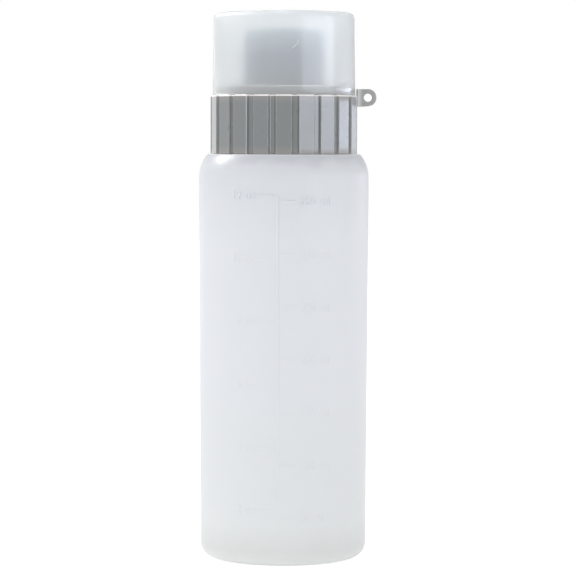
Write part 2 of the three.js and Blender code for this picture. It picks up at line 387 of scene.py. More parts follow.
@dataclass
class Wiring:
    """Adds nodes to one node tree and links them."""

    tree: bpy.types.NodeTree

    def node(self, kind: str, inputs: Optional[dict] = None, **settings: object) -> bpy.types.Node:
        """Adds one node.

        Args:
            kind: Blender's name of the node type.
            inputs: socket name or number to a plain value, or to a socket to link from.
            settings: the node's own settings.

        Returns:
            The new node.
        """
        made = self.tree.nodes.new(kind)
        for name, value in settings.items():
            setattr(made, name, value)
        self.fill(made, inputs or {})
        return made

    def fill(self, node: bpy.types.Node, inputs: dict) -> None:
        """Sets or links a node's inputs.

        Args:
            node: the node.
            inputs: socket name or number to a plain value, or to a socket to link from.
        """
        for name, value in inputs.items():
            if isinstance(value, bpy.types.NodeSocket):
                self.tree.links.new(value, node.inputs[name])
            else:
                node.inputs[name].default_value = value

    def math(self, operation: str, first: object, second: object = 0.0) -> bpy.types.NodeSocket:
        """One sum of two values or sockets."""
        return self.node("ShaderNodeMath", {0: first, 1: second}, operation=operation).outputs[0]

    def place(self) -> bpy.types.NodeSocket:
        """The place in the object's own coordinates."""
        return self.node("ShaderNodeTexCoord").outputs["Object"]

    def split(self, place: bpy.types.NodeSocket) -> bpy.types.NodeOutputs:
        """The X, Y and Z of a place or direction."""
        return self.node("ShaderNodeSeparateXYZ", {"Vector": place}).outputs

    def noise(self, place: bpy.types.NodeSocket, scale: object, detail: float) -> bpy.types.NodeSocket:
        """Cloudy noise from about 0 to 1."""
        inputs = {"Vector": place, "Scale": scale, "Detail": detail}
        return self.node("ShaderNodeTexNoise", inputs).outputs[0]

    def ramp(
        self, value: object, low: object, high: object, to_low: float, to_high: float
    ) -> bpy.types.NodeSocket:
        """Maps a value from one range to another, held inside it."""
        inputs = {"Value": value, "From Min": low, "From Max": high, "To Min": to_low, "To Max": to_high}
        return self.node("ShaderNodeMapRange", inputs, clamp=True).outputs["Result"]

    def blend(self, share: object, first: object, second: object) -> bpy.types.NodeSocket:
        """Mixes two colours, plain or from sockets, by a share."""
        inputs = {0: share, 6: opaque(first), 7: opaque(second)}
        return self.node("ShaderNodeMix", inputs, data_type="RGBA").outputs[2]


class SurfaceEffects:
    """The effects that several plastics share, each a node group built once."""

    def __init__(self) -> None:
        """Builds both groups."""
        self.moulding = self.build_moulding()
        # painted highlight on sharp edges, used by the collar
        self.edge_highlight = self.build_edge_highlight()

    @staticmethod
    def new_group(name: str, inputs: dict[str, float], outputs: Sequence[str]) -> tuple[Wiring, dict, dict]:
        """Starts a group with plain number sockets.

        Args:
            name: the group's name.
            inputs: input name to its default value.
            outputs: the output names.

        Returns:
            The wiring, the input sockets by name and the output sockets by name.
        """
        tree = bpy.data.node_groups.new(name, "ShaderNodeTree")
        for title, value in inputs.items():
            socket = tree.interface.new_socket(name=title, in_out="INPUT", socket_type="NodeSocketFloat")
            socket.default_value = value
        for title in outputs:
            tree.interface.new_socket(name=title, in_out="OUTPUT", socket_type="NodeSocketFloat")
        entry = tree.nodes.new("NodeGroupInput")
        leaving = tree.nodes.new("NodeGroupOutput")
        sources = {title: entry.outputs[title] for title in inputs}
        targets = {title: leaving.inputs[title] for title in outputs}
        return Wiring(tree), sources, targets

    def build_moulding(self) -> bpy.types.NodeTree:
        """The skin that a mould leaves: fine grain on slow ripples.

        Returns:
            The group, which puts out Height in metres and Mottle from 0 to 1.
        """
        sizes = {"Grain Scale": 3000.0, "Grain Height": 1e-6, "Ripple Scale": 90.0, "Ripple Height": 1e-5}
        wiring, given, wanted = self.new_group("moulded_skin", sizes, ("Height", "Mottle"))
        place = wiring.place()
        ripple = wiring.noise(place, given["Ripple Scale"], 2.0)
        fine = wiring.math("MULTIPLY", wiring.noise(place, given["Grain Scale"], 3.0), given["Grain Height"])
        slow = wiring.math("MULTIPLY", ripple, given["Ripple Height"])
        wiring.tree.links.new(wiring.math("ADD", fine, slow), wanted["Height"])
        wiring.tree.links.new(wiring.ramp(ripple, 0.3, 0.7, 0.0, 1.0), wanted["Mottle"])
        return wiring.tree

    def build_edge_highlight(self) -> bpy.types.NodeTree:
        """Painted highlight on sharp edges, pale and in patches.

        Returns:
            The group, which puts out Mask from 0 to 1.
        """
        wiring, given, wanted = self.new_group("painted_edge_highlight", {"Start": 0.52, "Full": 0.62}, ("Mask",))
        edges = wiring.node("ShaderNodeNewGeometry").outputs["Pointiness"]
        found = wiring.ramp(edges, given["Start"], given["Full"], 0.0, 1.0)
        patchy = wiring.ramp(wiring.noise(wiring.place(), 400.0, 2.0), 0.3, 0.6, 0.4, 1.0)
        highlight_share = wiring.math("MULTIPLY", found, patchy)
        wiring.tree.links.new(highlight_share, wanted["Mask"])
        return wiring.tree


def new_material(name: str) -> tuple[bpy.types.Material, Wiring, bpy.types.Node]:
    """A node material with one Principled shader.

    Args:
        name: the material's name.

    Returns:
        The material, its wiring and its shader.
    """
    material = bpy.data.materials.new(name)
    material.use_nodes = True
    material.node_tree.nodes.clear()
    wiring = Wiring(material.node_tree)
    shader = wiring.node("ShaderNodeBsdfPrincipled")
    wiring.node("ShaderNodeOutputMaterial", {"Surface": shader.outputs[0]})
    return material, wiring, shader


@dataclass(frozen=True)
class Moulding:
    """How a moulded skin feels, for the shared group."""

    grain_scale: float
    grain_height: float
    ripple_scale: float
    ripple_height: float

    def material(
        self, name: str, effects: SurfaceEffects
    ) -> tuple[bpy.types.Material, Wiring, bpy.types.Node, bpy.types.NodeSocket]:
        """Starts a material whose normal follows the skin.

        Args:
            name: the material's name.
            effects: the shared groups.

        Returns:
            The material, its wiring, its shader and the skin's mottle from 0 to 1.
        """
        material, wiring, shader = new_material(name)
        sizes = {
            "Grain Scale": self.grain_scale,
            "Grain Height": self.grain_height,
            "Ripple Scale": self.ripple_scale,
            "Ripple Height": self.ripple_height,
        }
        skin = wiring.node("ShaderNodeGroup", node_tree=effects.moulding)
        wiring.fill(skin, sizes)
        relief = {"Height": skin.outputs["Height"], "Distance": 1.0, "Strength": 1.0}
        wiring.fill(shader, {"Normal": wiring.node("ShaderNodeBump", relief).outputs[0]})
        return material, wiring, shader, skin.outputs["Mottle"]


@dataclass(frozen=True)
class MilkyPolyethylene:
    """The blown bottle's plastic: milky, soft, a little glossy, with painted shade at the heel and under the
    collar and a painted highlight on the ledge.
    """

    colour_and_shade_bands: tuple[tuple[float, Colour], ...] = (
        # painted shade at the heel
        (0.003, (0.735, 0.745, 0.74)),
        (0.014, (0.81, 0.83, 0.84)),
        (0.075, (0.81, 0.83, 0.88)),
        (0.115, (0.80, 0.82, 0.87)),
        # painted shade under the collar, darkest just below the ledge
        (0.1405, (0.735, 0.755, 0.80)),
        (0.1435, (0.635, 0.65, 0.705)),
    )  # the colour at each height in metres
    # painted highlight on the ledge under the collar
    ledge: Colour = (0.96, 0.96, 0.965)
    ledge_highlight_span: tuple[float, float] = (0.1445, 0.1448)
    # the wobble of the heights, which gives the painted shade under the collar its wavy edge
    wave: float = 0.0012
    roughness: tuple[float, float] = (0.36, 0.44)
    skin: Moulding = Moulding(2500.0, 1.2e-6, 55.0, 1.5e-5)

    def colour_with_painted_light(self, wiring: Wiring) -> bpy.types.NodeSocket:
        """The colour by height, with painted shade at the heel and under the collar, wavy below the ledge
        that the collar stands over, and a painted highlight on the ledge.
        """
        place = wiring.place()
        height = wiring.split(place)["Z"]
        wave = wiring.ramp(wiring.noise(place, 110.0, 1.0), 0.3, 0.7, -self.wave, self.wave)
        wavy = wiring.math("ADD", height, wave)
        ramp = wiring.node("ShaderNodeValToRGB", {"Fac": wiring.ramp(wavy, 0.0, CAD_BOX[1].z, 0.0, 1.0)})
        while len(ramp.color_ramp.elements) < len(self.colour_and_shade_bands):
            ramp.color_ramp.elements.new(0.5)
        for stop, (place_up, colour) in zip(ramp.color_ramp.elements, self.colour_and_shade_bands):
            stop.position = place_up / CAD_BOX[1].z
            stop.color = (*colour, 1.0)
        # painted highlight on the ledge
        on_ledge_highlight = wiring.ramp(height, *self.ledge_highlight_span, 0.0, 1.0)
        return wiring.blend(on_ledge_highlight, ramp.outputs[0], self.ledge)

    def material(self, effects: SurfaceEffects) -> bpy.types.Material:
        """Builds the material from the shared groups."""
        material, wiring, shader, mottle = self.skin.material("milky_polyethylene", effects)
        roughness = wiring.ramp(mottle, 0.0, 1.0, *self.roughness)
        wiring.fill(shader, {"Base Color": self.colour_with_painted_light(wiring), "Roughness": roughness})
        wiring.fill(shader, {"IOR": 1.5, "Specular IOR Level": 0.18, "Subsurface Radius": (1.0, 0.9, 0.9)})
        wiring.fill(shader, {"Subsurface Weight": 0.35, "Subsurface Scale": 0.003})
        wiring.fill(shader, {"Coat Weight": 0.055, "Coat Roughness": 0.1, "Coat IOR": 1.5})
        return material


@dataclass(frozen=True)
class RimHighlight:
    """A painted highlight along a rim of the collar, with a warmer tone beside it, in metres."""

    height: float
    share: float
    from_radius: float
    warm: float


@dataclass(frozen=True)
class GreyPolypropylene:
    """The collar's plastic: grey and satin, paler on the eye, with painted highlights on its sharp edges,
    along its top and bottom edges, on the spigot's top and at the eye's root, and painted light on the
    block's upper part.
    """

    skirt: Colour = (0.186, 0.201, 0.202)
    spigot: Colour = (0.21, 0.20, 0.193)
    block: Colour = (0.155, 0.205, 0.28)
    # painted light: the block's upper part paler, as if lit from above through the cap
    block_top: Colour = (0.56, 0.63, 0.68)
    eye: Colour = (0.36, 0.36, 0.365)
    # painted highlight at the eye's root, beside the cap's edge
    eye_root_highlight: Colour = (0.88, 0.87, 0.86)
    # painted highlight on sharp edges
    edge_highlight_colour: Colour = (0.74, 0.735, 0.725)
    # painted highlight along the collar's top and bottom edges and the spigot's top
    rim: Colour = (0.97, 0.96, 0.945)
    warm: Colour = (0.31, 0.285, 0.28)
    spigot_start: float = 0.1656
    block_start: float = 0.169
    block_lit_span: tuple[float, float] = (0.180, 0.1895)
    eye_start: float = 0.0263
    eye_half: float = 0.0013
    root_highlight_end: float = 0.0282
    # painted highlights: the collar's top edge, its bottom edge and the spigot's top edge
    rim_highlights: tuple[RimHighlight, ...] = (
        RimHighlight(0.1657, 1.0, 0.0248, 0.6),
        RimHighlight(0.1450, 0.15, 0.0248, 0.6),
        RimHighlight(0.1691, 0.9, 0.0220, 0.0),
    )
    rim_highlight_reach: float = 0.0005
    warm_reach: float = 0.003
    roughness: tuple[float, float] = (0.26, 0.34)
    skin: Moulding = Moulding(4000.0, 1.0e-6, 160.0, 6.0e-6)

    def zones(self, wiring: Wiring, parts: bpy.types.NodeOutputs) -> bpy.types.NodeSocket:
        """The colours of skirt, spigot, block and eye, with painted light on the block's upper part and a
        painted highlight at the eye's root.

        Args:
            wiring: the material's wiring.
            parts: the place's X, Y and Z.

        Returns:
            The colour.
        """
        on_spigot = wiring.ramp(parts["Z"], self.spigot_start, self.spigot_start + 0.0003, 0.0, 1.0)
        on_block = wiring.ramp(parts["Z"], self.block_start, self.block_start + 0.0015, 0.0, 1.0)
        # painted light on the block's upper part
        on_block_lit_top = wiring.ramp(parts["Z"], *self.block_lit_span, 0.0, 1.0)
        past_skirt = wiring.ramp(parts["X"], self.eye_start, self.eye_start + 0.0002, 0.0, 1.0)
        across = wiring.math("ABSOLUTE", parts["Y"])
        in_tab = wiring.ramp(across, self.eye_half, self.eye_half + 0.0001, 1.0, 0.0)
        # painted highlight at the eye's root
        on_root_highlight = wiring.ramp(parts["X"], self.eye_start, self.root_highlight_end, 1.0, 0.0)
        colour = wiring.blend(on_spigot, self.skirt, self.spigot)
        colour = wiring.blend(on_block, colour, self.block)
        colour = wiring.blend(on_block_lit_top, colour, self.block_top)
        eye = wiring.blend(on_root_highlight, self.eye, self.eye_root_highlight)
        return wiring.blend(wiring.math("MULTIPLY", past_skirt, in_tab), colour, eye)

    def colour_with_painted_light(self, wiring: Wiring, effects: SurfaceEffects) -> bpy.types.NodeSocket:
        """The zones' colours, with painted highlights on sharp edges and along each rim, and a warmer tone
        near each rim, laid over them.
        """
        place = wiring.place()
        parts = wiring.split(place)
        edges = wiring.node("ShaderNodeGroup", node_tree=effects.edge_highlight).outputs["Mask"]
        # painted highlight on sharp edges
        colour = wiring.blend(edges, self.zones(wiring, parts), self.edge_highlight_colour)
        patchy = wiring.ramp(wiring.noise(place, 260.0, 2.0), 0.3, 0.6, 0.85, 1.0)
        flat = wiring.node("ShaderNodeVectorMath", {0: place, 1: (1.0, 1.0, 0.0)}, operation="MULTIPLY")
        length = wiring.node("ShaderNodeVectorMath", {0: flat.outputs[0]}, operation="LENGTH")
        away = length.outputs["Value"]
        beside_eye = wiring.ramp(parts["X"], self.eye_start - 0.0005, self.eye_start, 1.0, 0.0)
        for rim in self.rim_highlights:
            distance = wiring.math("ABSOLUTE", wiring.math("SUBTRACT", parts["Z"], rim.height))
            outside = wiring.ramp(away, rim.from_radius, rim.from_radius + 0.0003, 0.0, 1.0)
            outside = wiring.math("MULTIPLY", beside_eye, outside)
            soft = wiring.ramp(distance, 0.0, self.warm_reach, rim.warm, 0.0)
            colour = wiring.blend(wiring.math("MULTIPLY", soft, outside), colour, self.warm)
            # painted highlight along each rim
            near = wiring.ramp(distance, 0.6 * self.rim_highlight_reach, self.rim_highlight_reach, rim.share, 0.0)
            highlight_share = wiring.math("MULTIPLY", near, patchy)
            colour = wiring.blend(wiring.math("MULTIPLY", highlight_share, outside), colour, self.rim)
        return colour

    def material(self, effects: SurfaceEffects) -> bpy.types.Material:
        """Builds the material from the shared groups."""
        material, wiring, shader, mottle = self.skin.material("grey_polypropylene", effects)
        roughness = wiring.ramp(mottle, 0.0, 1.0, *self.roughness)
        wiring.fill(shader, {"Base Color": self.colour_with_painted_light(wiring, effects), "Roughness": roughness})
        wiring.fill(shader, {"IOR": 1.5, "Coat Weight": 1.0, "Coat Roughness": 0.2, "Coat IOR": 1.5})
        return material


@dataclass(frozen=True)
class FrostedPolypropylene:
    """The dust cap's plastic: cloudy inside, glossy outside, and white where it was nicked."""

    colour: Colour = (0.95, 0.975, 0.99)
    cloudier: Colour = (0.965, 0.985, 0.995)
    nicked: Colour = (0.95, 0.96, 0.97)
    haze: float = 0.4
    hazy_span: tuple[float, float] = (0.1915, 0.194)
    roughness: tuple[float, float] = (0.28, 0.32)
    skin: Moulding = Moulding(2500.0, 2.0e-7, 70.0, 4.0e-6)

    def material(self, effects: SurfaceEffects) -> bpy.types.Material:
        """Builds the material from the shared groups."""
        material, wiring, shader, mottle = self.skin.material("frosted_polypropylene", effects)
        colour = wiring.blend(mottle, self.colour, self.cloudier)
        hazy_top = wiring.ramp(wiring.split(wiring.place())["Z"], *self.hazy_span, 0.0, self.haze)
        frosting = wiring.math("ADD", wiring.ramp(mottle, 0.0, 1.0, *self.roughness), hazy_top)
        wiring.fill(shader, {"Base Color": colour, "Roughness": frosting})
        wiring.fill(shader, {"IOR": 1.37, "Transmission Weight": 0.79})
        wiring.fill(shader, {"Coat Weight": 0.5, "Coat Roughness": 0.05, "Coat IOR": 1.5})
        return material

    def nicked_material(self) -> bpy.types.Material:
        """Builds the white look of the plastic where it was nicked."""
        material, wiring, shader = new_material("nicked_polypropylene")
        wiring.fill(shader, {"Base Color": opaque(self.nicked), "Roughness": 0.3})
        wiring.fill(shader, {"Coat Weight": 0.5, "Coat Roughness": 0.1})
        return material


@dataclass(frozen=True)
class WasherFoam:
    """The sealing washer's soft white foam."""

    colour: Colour = (0.72, 0.72, 0.69)
    darker: Colour = (0.6, 0.6, 0.57)
    skin: Moulding = Moulding(1500.0, 2.0e-5, 300.0, 2.0e-5)

    def material(self, effects: SurfaceEffects) -> bpy.types.Material:
        """Builds the material from the shared groups."""
        material, wiring, shader, mottle = self.skin.material("washer_foam", effects)
        wiring.fill(shader, {"Base Color": wiring.blend(mottle, self.colour, self.darker), "Roughness": 0.8})
        return material


@dataclass(frozen=True)
class ScaleRow:
    """One row of ticks and numbers of the moulded scale, in millimetres from its spine."""

    unit: str
    worth: int
    count: int
    top: float
    step: float
    tick: Point
    label: float
    right_aligned: bool = False

    def marks(self) -> list[tuple[float, str]]:
        """The height and the text of each tick, from the top."""
        steps = range(self.count)
        return [(self.top - self.step * i, f"{self.worth * (self.count - i)} {self.unit}") for i in steps]


@dataclass(frozen=True)
class Lettering:
    """The moulded scale on the bottle's side: a spine with ticks and plain numbers, in millimetres."""

    turn: float = -94.2
    height: float = 0.12
    top_boost: float = 1.4
    boost_start: float = 116.0
    boost_reach: float = 12.0
    bedding: float = 0.2
    slope: float = 0.12
    line: float = 0.7
    letter: float = 4.3
    letter_bevel: float = 0.05
    spine: Point = (24.0, 130.5)
    rows: tuple[ScaleRow, ...] = (
        ScaleRow("ml", 50, 7, 128.4, 18.55, (1.4, 6.2), 7.9),
        ScaleRow("oz", 2, 6, 130.5, 22.1, (-6.6, -1.4), -7.7, right_aligned=True),
    )
    strip: float = 0.6
    strip_shift: float = 0.37  # keeps the strips' edges off the bars' corners
    reach: float = 26.0

    def bar(self, sides: Point, ends: Point) -> tuple[list, list]:
        """A flat bar on the unrolled side.

        Args:
            sides: where it starts and ends along the side.
            ends: its lower and upper height.

        Returns:
            Its corners and faces, a small block with sloped sides.
        """
        corners = []
        for grow, out in ((self.slope, -self.bedding), (0.0, self.height)):
            left, right = sides[0] - grow, sides[1] + grow
            low, high = ends[0] - grow, ends[1] + grow
            corners += [(left, low, out), (right, low, out), (right, high, out), (left, high, out)]
        faces = [[3, 2, 1, 0], [4, 5, 6, 7]]
        faces += [[i, (i + 1) % 4, 4 + (i + 1) % 4, 4 + i] for i in range(4)]
        return corners, faces

    def bars(self) -> bpy.types.Object:
        """All spine and tick bars as one flat object."""
        half = self.line / 2
        wanted = [((-half, half), self.spine)]
        for row in self.rows:
            wanted += [(row.tick, (height - half, height + half)) for height, _ in row.marks()]
        vertices: list = []
        faces: list = []
        for sides, ends in wanted:
            corners, quads = self.bar(sides, ends)
            faces += [[len(vertices) + i for i in quad] for quad in quads]
            vertices += corners
        return closed_object("scale_bars", vertices, faces)

    def number(self, text: str, row: ScaleRow, middle: float) -> bpy.types.Object:
        """One number as a flat, bevelled relief.

        Args:
            text: the number with its unit.
            row: the row that it belongs to.
            middle: height of its middle.

        Returns:
            The relief, lying in the unrolled side.
        """
        curve = bpy.data.curves.new(text, "FONT")
        curve.body = text
        curve.size = self.letter
        curve.align_x = "RIGHT" if row.right_aligned else "LEFT"
        curve.align_y = "CENTER"
        curve.extrude = (self.height + self.bedding) / 2 - self.letter_bevel
        curve.bevel_depth = self.letter_bevel
        curve.bevel_resolution = 1
        curve.resolution_u = 4
        made = mesh_from_curve(curve)
        made.data.transform(Matrix.Translation((row.label, middle, (self.height - self.bedding) / 2)))
        return made

    def raised(self, height: float) -> float:
        """How much further the scale stands out at a height: it grows towards the top."""
        return 1.0 + self.top_boost * max(0.0, min(1.0, (height - self.boost_start) / self.boost_reach))

    def wrapped(self, side: Callable[[float], float]) -> bpy.types.Object:
        """Bends the whole relief round the bottle's side.

        Args:
            side: gives the side's radius at a height.

        Returns:
            The relief as one object in millimetres.
        """
        relief = bmesh.new()
        numbers = [self.number(text, row, height) for row in self.rows for height, text in row.marks()]
        for flat in (self.bars(), *numbers):
            relief.from_mesh(flat.data)
            bpy.data.objects.remove(flat)
        bmesh.ops.remove_doubles(relief, verts=relief.verts, dist=SAME_POINT)
        bmesh.ops.dissolve_degenerate(relief, edges=relief.edges, dist=10.0 * SAME_POINT)
        last_cut = round(self.reach / self.strip)
        for cut in range(-last_cut, last_cut + 1):
            everything = [*relief.verts, *relief.edges, *relief.faces]
            place = ((cut + self.strip_shift) * self.strip, 0.0, 0.0)
            bmesh.ops.bisect_plane(relief, geom=everything, plane_co=place, plane_no=(1.0, 0.0, 0.0))
        bmesh.ops.remove_doubles(relief, verts=relief.verts, dist=10.0 * SAME_POINT)
        for corner in relief.verts:
            along, height, out = corner.co
            base = side(height)
            radius = base + out * self.raised(height)
            angle = math.radians(self.turn) + along / base
            corner.co = (radius * math.cos(angle), radius * math.sin(angle), height)
        mesh = bpy.data.meshes.new("moulded_scale")
        relief.to_mesh(mesh)
        relief.free()
        return linked("moulded_scale", mesh)


@dataclass(frozen=True)
class BottleBody:
    """The blown bottle, in millimetres."""

    side_radius: float = 30.5
    taper: float = 0.75
    wall: float = 1.0
    side_height: float = 136.3
    shoulder: float = 13.2
    ledge_height: float = 144.8984
    edge_round: float = 0.8
    heel: float = 5.0
    ring_width: float = 2.4
    push_up: float = 2.6
    neck_radius: float = 22.1
    neck_bore: float = 20.4
    neck_top: float = 162.6984
    thread_rise: float = 8.3
    angles: int = 240

    def side_at(self, height: float) -> float:
        """The side's radius at a height."""
        share = (self.side_height - height) / (self.side_height - self.heel)
        return self.side_radius - self.taper * max(0.0, min(1.0, share))

    def base_curve(self, ring_inner: float, lift: float) -> list[Point]:
        """The pushed-up base, from the axis out to the standing ring."""
        shares = [i / 14 for i in range(15)]
        return [(ring_inner * s, lift + self.push_up * (1.0 + math.cos(math.pi * s)) / 2.0) for s in shares]

    def outline(self) -> list[Point]:
        """The closed outline, up the outside and down the inside."""
        shoulder_centre = self.side_radius - self.shoulder
        rise = self.ledge_height - self.side_height
        edge_angle = math.degrees(math.asin((rise - self.edge_round) / (self.shoulder - self.edge_round)))
        edge_centre = shoulder_centre + (self.shoulder - self.edge_round) * math.cos(math.radians(edge_angle))
        inner_shoulder = self.shoulder - self.wall
        inner_angle = math.degrees(math.asin((rise - self.wall) / inner_shoulder))
        inner_edge = shoulder_centre + inner_shoulder * math.cos(math.radians(inner_angle))
        edge_height = self.ledge_height - self.edge_round
        heel_centre = self.side_radius - self.taper - self.heel
        ring_inner = heel_centre - self.ring_width
        neck = rounded_outline(
            [
                Corner(edge_centre, self.ledge_height),
                Corner(self.neck_radius, self.ledge_height, 0.5),
                Corner(self.neck_radius, self.neck_top, 0.35, 4),
                Corner(self.neck_bore, self.neck_top, 0.35, 4),
                Corner(self.neck_bore, self.ledge_height - self.wall, 1.0),
                Corner(inner_edge, self.ledge_height - self.wall),
            ]
        )
        return subdivided(
            [
                *self.base_curve(ring_inner, 0.0),
                *arc((heel_centre, self.heel), self.heel, -90.0, 0.0, 14),
                *arc((shoulder_centre, self.side_height), self.shoulder, 0.0, edge_angle, 16),
                *arc((edge_centre, edge_height), self.edge_round, edge_angle, 90.0, 6),
                *neck,
                *arc((shoulder_centre, self.side_height), inner_shoulder, inner_angle, 0.0, 10),
                *arc((heel_centre, self.heel), self.heel - self.wall, 0.0, -90.0, 8),
                *reversed(self.base_curve(ring_inner, self.wall)),
            ],
            3.0,
        )

    def build(self, finish: bpy.types.Material) -> None:
        """Builds the bottle with its thread and its moulded scale."""
        made = turned_solid("bottle_blown", self.outline(), even_angles(self.angles))
        thread = ScrewThread(self.neck_radius, 1, self.ledge_height + self.thread_rise)
        combine(made, thread.build("neck_thread"), Join.ADD)
        combine(made, Lettering().wrapped(self.side_at), Join.ADD)
        finish_mesh(made)
        dress(made, Body.BOTTLE, Slot.MILKY, finish, "bottle_body")


@dataclass(frozen=True)
class Outlet:
    """One small spout in the block's dish, in millimetres."""

    foot_radius: float = 3.2
    tip_radius: float = 2.2
    tip_round: float = 0.3
    below_rim: float = 0.3
    sunk: float = 0.5
    bore_radius: float = 1.2
    bore_depth: float = 3.0
    flare: float = 0.25
    steps: int = 48

    def build(self, place: Point, floor: float, rim: float) -> tuple[bpy.types.Object, bpy.types.Object]:
        """Builds the spout and its bore.

        Args:
            place: where it stands, as (x, y).
            floor: height of the dish's floor.
            rim: height of the block's rim.

        Returns:
            The spout to add and the bore to cut.
        """
        tip = rim - self.below_rim
        spout = [
            Corner(0.0, floor - self.sunk),
            Corner(self.foot_radius + 0.05, floor - self.sunk),
            Corner(self.foot_radius, floor),
            Corner(self.tip_radius, tip, self.tip_round, 4),
            Corner(0.0, tip),
        ]
        bore = [
            (0.0, floor - self.bore_depth),
            (self.bore_radius, floor - self.bore_depth),
            (self.bore_radius, tip - self.flare),
            (self.bore_radius + self.flare, tip),
            (self.bore_radius + self.flare, tip + 1.0),
            (0.0, tip + 1.0),
        ]
        parts = (
            turned_solid("spout", rounded_outline(spout), even_angles(self.steps)),
            turned_solid("spout_bore", bore, even_angles(self.steps)),
        )
        for part in parts:
            part.data.transform(Matrix.Translation((*place, 0.0)))
        return parts


@dataclass(frozen=True)
class NozzleCollar:
    """The screw collar with its spigot, nozzle block, outlets and eye, in millimetres."""

    bore: float = 23.6
    radius: float = 26.35
    bottom: float = 145.0484
    deck_under: float = 163.8984
    deck: float = 165.8984
    edge_round: float = 0.6
    grooves: int = 20
    groove_depth: float = 1.1
    groove_half: float = 1.4
    groove_floor_half: float = 0.8
    groove_crest: float = 0.25
    groove_reach: float = 1.7  # the skirt gives way this far in from its outside
    groove_settled: float = 0.15  # and fully from this far inside the edge's rounding
    steps_per_groove: int = 14
    steps_per_panel: int = 8
    spigot_radius: float = 24.1
    spigot_bead: float = 0.35
    spigot_wall: float = 1.6
    spigot_height: float = 3.2
    block_base: float = 15.15
    block_draft: float = 0.75
    block_top: float = 189.4984
    block_wall: float = 1.5
    dish_floor: float = 187.2984
    dish_rim: float = 1.4
    outlet_ring: float = 7.3
    thread_start: float = 151.5984

    def outline(self) -> list[Point]:
        """The closed outline, from the block's hollow out, down the skirt and up over the block."""
        spigot_side = self.spigot_radius - self.spigot_bead
        spigot_inner = spigot_side - self.spigot_wall
        spigot_top = self.deck + self.spigot_height
        hollow = self.block_base - self.block_wall
        top = self.block_base - self.block_draft
        corners = [
            Corner(0.0, self.dish_floor - self.block_wall),
            Corner(hollow - self.block_draft, self.dish_floor - self.block_wall, 0.5),
            Corner(hollow, self.deck, 0.3),
            Corner(hollow, self.deck_under, 0.3),
            Corner(self.bore, self.deck_under, 0.4),
            Corner(self.bore, self.bottom, 0.4),
            Corner(self.radius, self.bottom, 0.2 * self.edge_round),
            Corner(self.radius, self.deck, self.edge_round),
            Corner(spigot_side, self.deck, 0.25, 3),
            Corner(spigot_side, self.deck + 0.3 * self.spigot_height, 0.3, 3),
            Corner(self.spigot_radius, self.deck + 0.45 * self.spigot_height, 0.3, 3),
            Corner(self.spigot_radius, self.deck + 0.65 * self.spigot_height, 0.4, 3),
            Corner(spigot_side, spigot_top, 0.3, 3),
            Corner(spigot_inner, spigot_top, 0.3, 3),
            Corner(spigot_inner, self.deck, 0.4),
            Corner(self.block_base, self.deck, 0.5),
            Corner(top, self.block_top, 0.8, 6),
            Corner(top - self.dish_rim, self.block_top, 0.35, 4),
            Corner(top - self.dish_rim, self.dish_floor, 0.35, 4),
            Corner(0.0, self.dish_floor),
        ]
        return subdivided(rounded_outline(corners), 2.5)

    def angles(self) -> list[float]:
        """Angles round the axis, closer together in the grooves."""
        pitch = 2.0 * math.pi / self.grooves
        half = (self.groove_half + self.groove_crest) / self.radius
        panel = pitch - 2.0 * half
        places = []
        for groove in range(self.grooves):
            start = (groove + 0.5) * pitch - half
            places += [start + 2.0 * half * i / self.steps_per_groove for i in range(self.steps_per_groove)]
            start += 2.0 * half
            places += [start + panel * i / self.steps_per_panel for i in range(self.steps_per_panel)]
        return places

    def grooved(self, angle: float, radius: float, height: float) -> Point:
        """Flattens the panels of the skirt's outside and sinks the grooves between them."""
        pitch = 2.0 * math.pi / self.grooves
        from_panel = angle - round(angle / pitch) * pitch
        across = (pitch / 2.0 - abs(from_panel)) * self.radius
        panel_half = pitch / 2.0 - self.groove_half / self.radius
        flat = math.cos(panel_half) / math.cos(min(abs(from_panel), panel_half))
        flank = self.groove_half - self.groove_floor_half
        rise = max(0.0, min(1.0, (across - self.groove_floor_half) / flank))
        depth = self.groove_depth * (1.0 - rise * rise * (3.0 - 2.0 * rise)) + self.radius * (1.0 - flat)
        start = self.radius - self.groove_reach
        full = self.radius - self.edge_round - self.groove_settled
        weight = max(0.0, min(1.0, (radius - start) / (full - start)))
        return radius - depth * weight, height

    def build(self, finish: bpy.types.Material) -> None:
        """Builds the whole moulding."""
        made = turned_solid("collar_moulded", self.outline(), self.angles(), self.grooved)
        combine(made, ScrewThread(self.bore, -1, self.thread_start).build("collar_thread"), Join.ADD)
        combine(made, HangingEye(self).build(), Join.ADD)
        ring = arc((0.0, 0.0), self.outlet_ring, 45.0, 315.0, 3)
        for place in ((0.0, 0.0), *ring):
            spout, bore = Outlet().build(place, self.dish_floor, self.block_top)
            combine(made, spout, Join.ADD)
            combine(made, bore, Join.CUT)
        finish_mesh(made)
        dress(made, Body.COLLAR, Slot.GREY, finish, "nozzle_collar")


